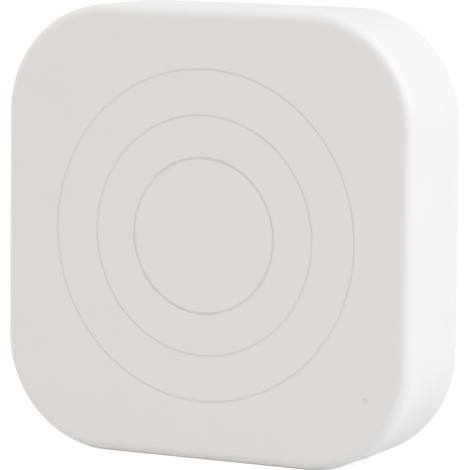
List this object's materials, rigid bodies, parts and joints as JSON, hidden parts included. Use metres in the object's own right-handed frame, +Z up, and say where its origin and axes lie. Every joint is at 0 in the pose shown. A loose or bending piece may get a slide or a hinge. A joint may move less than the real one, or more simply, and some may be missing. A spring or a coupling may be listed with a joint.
{
  "type": "presence sensor",
  "caption": "Square white room presence sensor with large rounded corners, three fine concentric rings on its face, a bottom power inlet and a slide-on wall bracket.",
  "frame": {"origin": "middle of the bottom of the bounding box, in the plane that the sensor stands on", "axes": "+Z up; the face with the rings looks along -Y; +X to the right of someone facing it"},
  "size_m": [0.064, 0.0168, 0.064],
  "materials": {
    "housing_plastic": "fine satin moulding, warm white PC/ABS",
    "cover_plastic": "fine spark texture, warm white PC/ABS",
    "bracket_plastic": "fine spark texture, warm white PC/ABS",
    "button_plastic": "satin moulding, warm white",
    "screw_steel": "zinc plated steel",
    "board_laminate": "green solder mask over glass-epoxy laminate",
    "radar_laminate": "dark green solder mask over radio laminate",
    "shell_steel": "nickel plated drawn steel",
    "black_nylon": "black glass-filled nylon",
    "contact_gold": "gold plated copper alloy",
    "bare_copper": "gold flashed copper",
    "chip_resin": "black moulding compound",
    "tinned_metal": "tin plated",
    "ferrite": "dark grey ferrite",
    "capacitor_ceramic": "brown barium titanate ceramic",
    "clear_guide": "clear polycarbonate light guide",
    "led_resin": "milky resin"
  },
  "bodies": {
    "housing": {"front_housing": "housing_plastic", "rear_cover": "cover_plastic", "rear_cover_screws": "screw_steel", "main_board": "board_laminate", "main_board_screws": "screw_steel", "usb_shell": "shell_steel", "usb_tongue": "black_nylon", "usb_base": "black_nylon", "usb_contacts": "contact_gold", "switch_body": "black_nylon", "switch_frame": "shell_steel", "switch_terminals": "tinned_metal", "led_light_guide": "clear_guide", "status_led": "led_resin", "radar_board": "radar_laminate", "radar_patches": "bare_copper", "radar_chip": "chip_resin", "radar_crystal": "tinned_metal", "radar_headers": "black_nylon", "radar_pins": "contact_gold", "wireless_board": "radar_laminate", "wireless_can": "shell_steel", "wireless_chip": "chip_resin", "wireless_antenna": "bare_copper", "voltage_regulator": "chip_resin", "regulator_leads": "tinned_metal", "power_inductor": "ferrite", "inductor_pads": "tinned_metal", "ceramic_capacitors": "capacitor_ceramic"},
    "bracket": {"wall_bracket": "bracket_plastic"},
    "button": {"pairing_button": "button_plastic"},
    "plunger": {"switch_plunger": "black_nylon"}
  },
  "joints": [
    {"name": "bracket_slide", "type": "slide", "parent": "housing", "child": "bracket", "axis": [0, 0, -1], "range_m": [0, 0.0065]},
    {"name": "button_press", "type": "slide", "parent": "housing", "child": "button", "axis": [0, 0, 1], "range_m": [0, 0.0003], "stiffness_N_per_m": 4000},
    {"name": "plunger_press", "type": "slide", "parent": "housing", "child": "plunger", "axis": [0, 0, 1], "range_m": [0, 0.0003]}
  ],
  "couplings": [
    {"joint": "plunger_press", "follows": "button_press", "ratio": 1}
  ]
}
